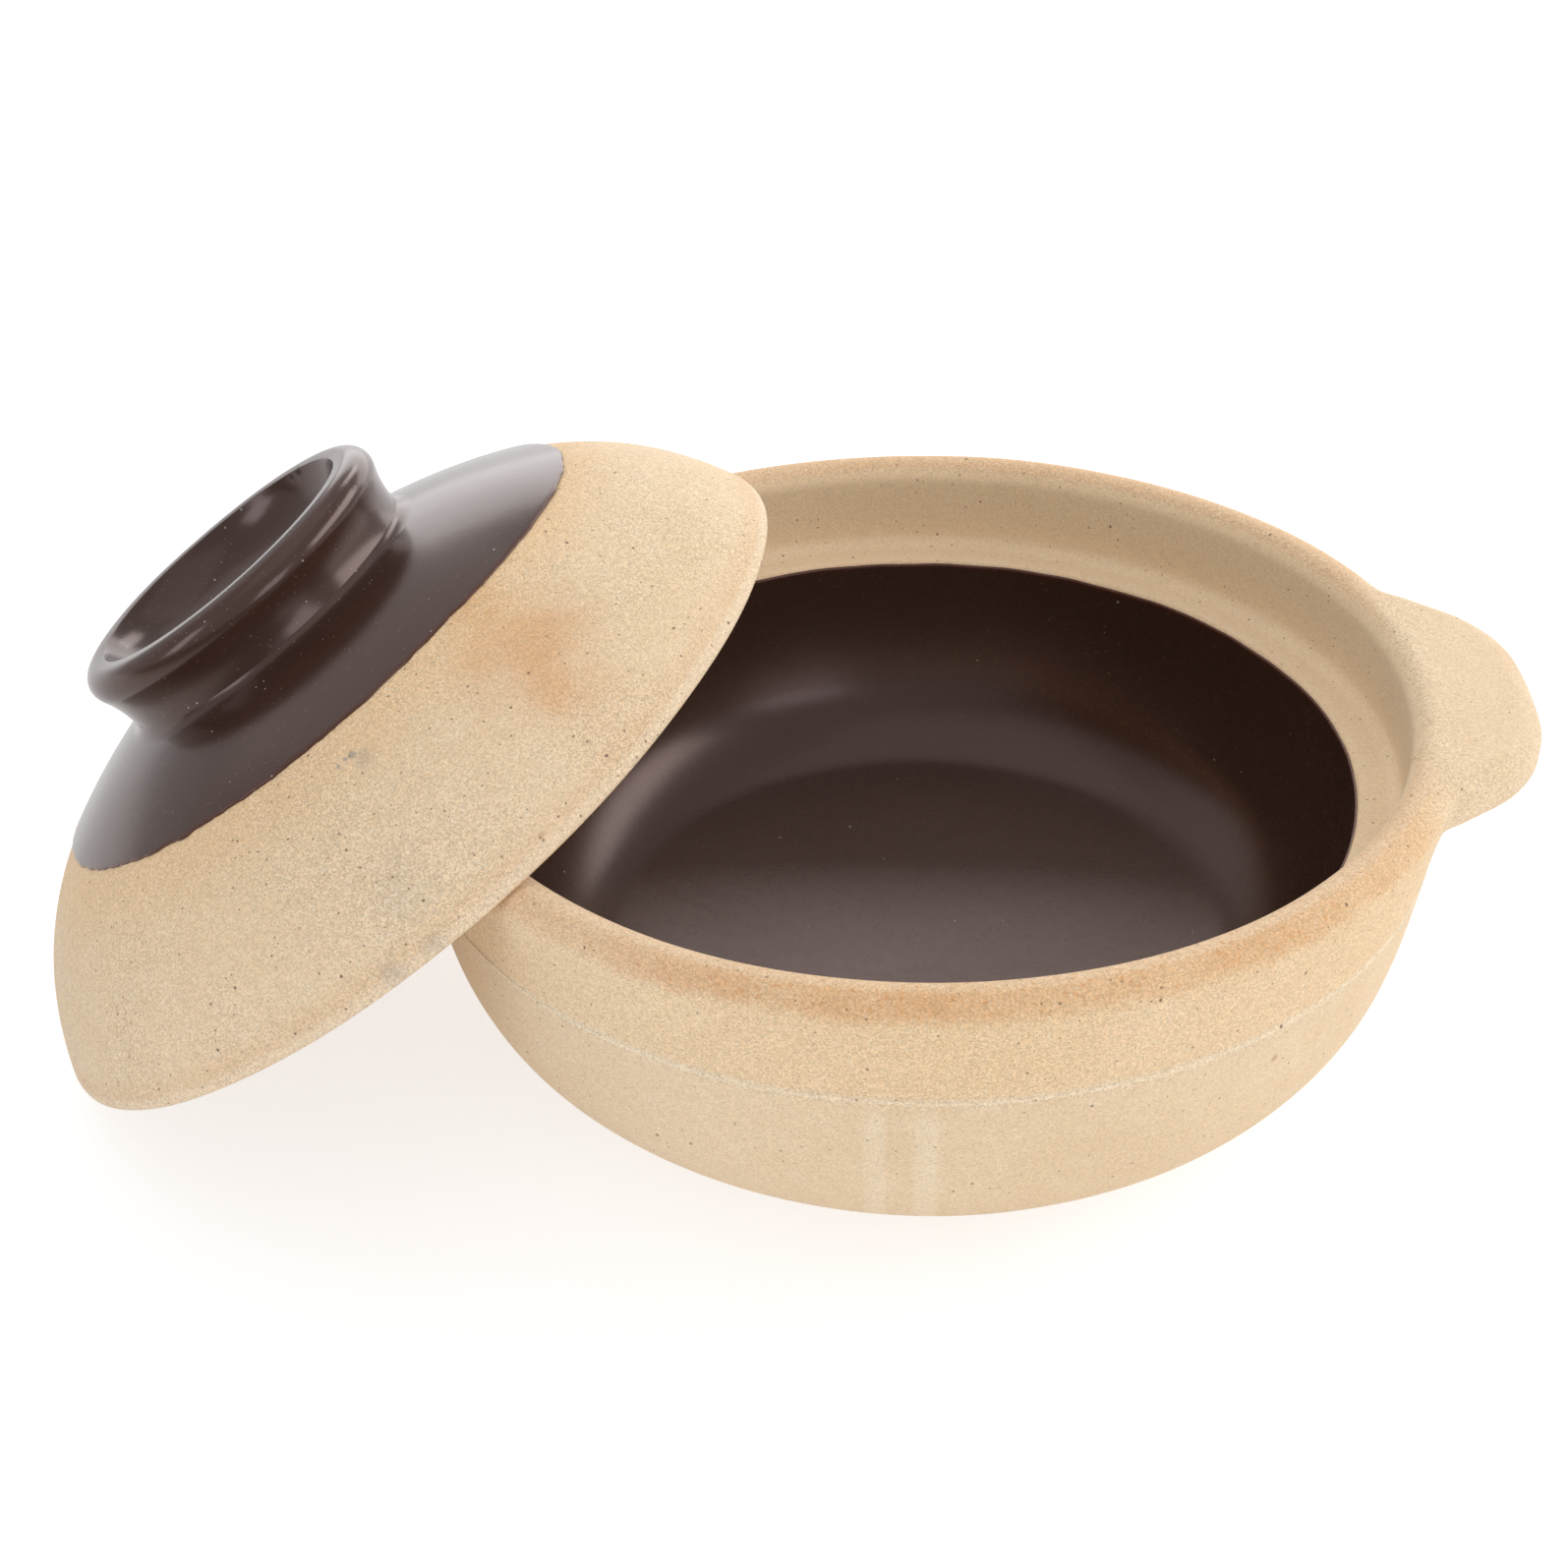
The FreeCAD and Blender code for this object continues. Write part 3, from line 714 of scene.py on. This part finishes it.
lip_start = on_circle(bead_centre, bead_round, lip_bearing)
lip_end = on_circle(lip_start, lip_width, lip_bearing + 90)
edge_centre = on_circle(lip_end, -edge_round, lip_bearing)
hollow_centre = meeting_point(
    ridge_centre, ridge_round + hollow_curve, bead_centre, bead_round + hollow_curve, -1)
cove_centre = meeting_point(
    ridge_centre, ridge_round + cove_round, crown_centre, crown_curve + cove_round, 1)
foot_bearing = bearing_of(crown_centre, cove_centre)
cup_rise = knob_floor_height + cup_curve - edge_centre[1]
cup_bearing = math.degrees(math.asin(cup_rise / (cup_curve + edge_round)))
cup_centre = on_circle(edge_centre, cup_curve + edge_round, 180 - cup_bearing)


def knob_line(outline, grow, fine):
    # Draws the knob's section from the crown up the outside, over the bead and down into its cup.
    ridge_low = bearing_of(ridge_centre, cove_centre)
    ridge_high = bearing_of(ridge_centre, hollow_centre)
    bead_low = bearing_of(bead_centre, hollow_centre)
    outline.arc(cove_centre, ridge_low - foot_bearing, 5 * fine)
    outline.arc(ridge_centre, ridge_high - ridge_low, 4 * fine)
    outline.arc(hollow_centre, bead_low - ridge_high, 10 * fine)
    outline.arc(bead_centre, lip_bearing - bead_low, 8 * fine)
    outline.line(on_circle(lip_end, grow, lip_bearing), fine)
    outline.arc(edge_centre, 180 - cup_bearing - lip_bearing, 3 * fine)
    outline.arc(cup_centre, cup_bearing - 90, 9 * fine)
    outline.line((0, knob_floor_height + grow), 5 * fine)


# The knob's coat runs out under the crown's coat and the crown's in under the knob's, so no seam shows.
coat_curve = crown_curve + glaze_thickness
coat_lap = 1.4
coat_tucked = 0.02
lap = math.degrees(coat_lap / coat_curve)
core_radius = 14
core_sink = 0.3
foot_sink = 1.0
lap_sink = 0.5
far_from_edge = 5.0

knob_start = on_circle(crown_centre, coat_curve - coat_tucked, foot_bearing - lap)
knob = Outline(*knob_start)
knob.line(on_circle(crown_centre, coat_curve, foot_bearing), 2)
knob_line(knob, glaze_thickness, 2)
knob.line((0, knob_floor_height - core_sink))
knob.line((core_radius, knob_floor_height - core_sink), 2)
knob.line(on_circle(crown_centre, crown_curve - foot_sink, foot_bearing), 2)
knob.line(on_circle(crown_centre, crown_curve - lap_sink, foot_bearing - lap))
knob.line(knob_start)
knob_mesh = knob.thrown(360)
# Two small pits inside the bead, where the glaze has broken away. Their dark colour is painted shade.
pits = [((-10.2, -25.0, crown_height + 9.8), 1.0), ((-7.8, -25.6, crown_height + 9.7), 0.7)]
pit_dent = Vector((0, 0.2, -0.24))
for point in knob_mesh.verts:
    for place, reach in pits:
        point.co += pit_dent * eased(max(1 - (point.co - Vector(place)).length / reach, 0))
measure_edge(knob_mesh, lambda co: far_from_edge)
on_lid(knob_mesh)
hand_made(knob_mesh)
glaze_on_lid = brown_glaze(
    "brown_glaze_of_lid", 0.19, (1.0, 0.77, 0.71), 0.5, pits, lid_middle, (0, lid_tilt, lid_turn))
finished(knob_mesh, "knob_coat", glaze_on_lid, "lid", ["lid_knob_glaze"])


brushed_out = 4.2
brushed_bearing = -155
brushed_spread = 44.4


def brushed_edge(co):
    # The crown's coat reaches further on the side over the pot, and its edge runs unevenly.
    bearing = math.degrees(math.atan2(co.y, co.x))
    from_top = (bearing - brushed_bearing + 180) % 360 - 180
    around = Vector((co.x, co.y, 0)).normalized()
    ripple = 0.5 * noise.noise(around * 3.1) + 0.34 * noise.noise(around * 13 + Vector((0, 4, 0)))
    ripple += 0.2 * noise.noise(around * 34 + Vector((0, 0, 7)))
    return crown_coat_radius + brushed_out * math.exp(-(from_top / brushed_spread) ** 2) + ripple


coat_edge_bearing = math.degrees(math.acos(crown_coat_radius / crown_curve))
crown_start = on_circle(crown_centre, coat_curve, foot_bearing + lap)
crown = Outline(*crown_start)
crown.arc(crown_centre, coat_edge_bearing - foot_bearing - lap, 42)
crown.arc(on_circle(crown_centre, crown_curve, coat_edge_bearing), -90, 5)
crown.line(on_circle(crown_centre, crown_curve - glaze_sink, coat_edge_bearing))
crown.arc(crown_centre, foot_bearing + lap - coat_edge_bearing, 12)
crown.line(crown_start)
crown_mesh = crown.thrown(lid_columns)
knob_foot_radius = knob_start[0]
edge_rounding = 0.3
for point in crown_mesh.verts:
    radius = math.hypot(point.co.x, point.co.y)
    above = math.hypot(radius, point.co.z - crown_centre[1])
    share = (radius - knob_foot_radius) / (crown_coat_radius - knob_foot_radius)
    reach = radius + (brushed_edge(point.co) - crown_coat_radius) * max(share, 0)
    point.co.x *= reach / radius
    point.co.y *= reach / radius
    point.co.z = crown_centre[1] + math.sqrt(above ** 2 - reach ** 2)
measure_edge(crown_mesh, lambda co: brushed_edge(co) - math.hypot(co.x, co.y) + edge_rounding)
on_lid(crown_mesh)
hand_made(crown_mesh)
finished(crown_mesh, "crown_coat", glaze_on_lid, "lid", ["lid_crown_glaze"])

# The knob's own clay is the lid's.
knob_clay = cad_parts["lid_knob"].data.materials
knob_clay.clear()
knob_clay.append(clay_dome.data.materials[0])


# The table, the light and the camera
# The pot stands on a white table in a white room, with soft boxes behind it and at its sides.

table_mesh = bmesh.new()
bmesh.ops.create_grid(table_mesh, x_segments=1, y_segments=1, size=6)
table_data = bpy.data.meshes.new("table")
table_mesh.to_mesh(table_data)
table_mesh.free()
table = bpy.data.objects.new("table", table_data)
bpy.context.scene.collection.objects.link(table)
white = Finish("white_table")
in_view = white.add("ShaderNodeLightPath", output="Is Camera Ray")
in_gloss = white.add("ShaderNodeLightPath", output="Is Glossy Ray")
paper = white.add("ShaderNodeBsdfDiffuse", sockets={"Color": (0.8, 0.8, 0.8, 1)})
glow = white.add("ShaderNodeEmission", sockets={"Color": (1, 1, 1, 1), "Strength": 0.24})
lit = white.add("ShaderNodeAddShader", sockets={0: paper, 1: glow})
# In the glaze, the table mirrors darker in front of the pot, where the room is dim.
dim = white.add("ShaderNodeBsdfDiffuse", sockets={"Color": (0.2, 0.2, 0.2, 1)})
in_front = white.step(white.y, -50, -300)
under = white.add("ShaderNodeMixShader", sockets={0: in_gloss * in_front, 1: lit, 2: dim})
lift = white.add("ShaderNodeEmission", sockets={"Color": (1, 1, 1, 1), "Strength": 0.66})
shaded = white.add("ShaderNodeBsdfDiffuse", sockets={"Color": (0.5, 0.5, 0.5, 1)})
seen = white.add("ShaderNodeAddShader", sockets={0: shaded, 1: lift})
white.add_output(white.add("ShaderNodeMixShader", sockets={0: in_view, 1: under, 2: seen}))
table_data.materials.append(white.material)

# The room is white where it is seen, softer where it fills the shade, and a little cool in the gloss.
world = bpy.data.worlds.new("white_room")
bpy.context.scene.world = world
world.use_nodes = True
room = world.node_tree
room.nodes.clear()
rays = room.nodes.new("ShaderNodeLightPath")
fill = room.nodes.new("ShaderNodeBackground")
fill.inputs["Color"].default_value = (1, 1, 1, 1)
fill.inputs["Strength"].default_value = 0.70
mirrored = room.nodes.new("ShaderNodeBackground")
mirrored.inputs["Color"].default_value = (0.94, 0.96, 1, 1)
mirrored.inputs["Strength"].default_value = 0.58
shown = room.nodes.new("ShaderNodeBackground")
shown.inputs["Color"].default_value = (1, 1, 1, 1)
room_in_gloss = room.nodes.new("ShaderNodeMixShader")
room_in_view = room.nodes.new("ShaderNodeMixShader")
room_out = room.nodes.new("ShaderNodeOutputWorld")
room.links.new(rays.outputs["Is Glossy Ray"], room_in_gloss.inputs[0])
room.links.new(fill.outputs[0], room_in_gloss.inputs[1])
room.links.new(mirrored.outputs[0], room_in_gloss.inputs[2])
room.links.new(rays.outputs["Is Camera Ray"], room_in_view.inputs[0])
room.links.new(room_in_gloss.outputs[0], room_in_view.inputs[1])
room.links.new(shown.outputs[0], room_in_view.inputs[2])
room.links.new(room_in_view.outputs[0], room_out.inputs["Surface"])


def soft_lamp(name, place, width, height, brightness, color=(1, 1, 1)):
    # A soft box that faces the pot. Its brightness is that of its own white front.
    data = bpy.data.lights.new(name, "AREA")
    data.shape = "RECTANGLE"
    data.size = width
    data.size_y = height
    data.energy = brightness * math.pi * width * height
    data.color = color
    lamp = bpy.data.objects.new(name, data)
    aim = (Vector((0, 0, 0.05)) - Vector(place)).to_track_quat("-Z", "Y")
    lamp.matrix_world = Matrix.Translation(place) @ aim.to_matrix().to_4x4()
    bpy.context.scene.collection.objects.link(lamp)


soft_lamp("overhead_box", (-0.15, 0.0, 1.2), 1.4, 1.0, 0.25)
soft_lamp("back_low_box", (0.04, 1.46, 0.39), 1.9, 0.7, 1.7)
soft_lamp("back_high_box", (0.0, 1.24, 0.88), 0.3, 0.5, 2.8)
soft_lamp("right_box", (1.233, 0.449, 0.777), 1.7, 0.6, 3.1)
soft_lamp("left_box", (-0.93, 0.78, 0.88), 1.0, 0.8, 0.25)
soft_lamp("front_right_box", (0.90, -1.11, 0.49), 0.7, 0.6, 2.0, (0.86, 0.90, 1.0))
soft_lamp("front_left_box", (-1.10, -0.90, 0.53), 0.45, 0.6, 2.3, (0.86, 0.90, 1.0))

camera_place = (0, -0.358474, 0.285485)
camera_pitch = math.radians(33.278)
camera_turn = math.radians(4.0176)
camera_roll = math.radians(-1.4651)
camera_data = bpy.data.cameras.new("camera")
camera_data.lens = 52.926
camera_data.sensor_width = 36
camera_data.clip_start = 0.01
camera = bpy.data.objects.new("camera", camera_data)
camera.matrix_world = (
    Matrix.Translation(camera_place)
    @ Matrix.Rotation(camera_turn, 4, "Z")
    @ Matrix.Rotation(math.pi / 2 - camera_pitch, 4, "X")
    @ Matrix.Rotation(camera_roll, 4, "Z"))
bpy.context.scene.collection.objects.link(camera)
bpy.context.scene.camera = camera
bpy.context.scene.view_settings.view_transform = "Standard"
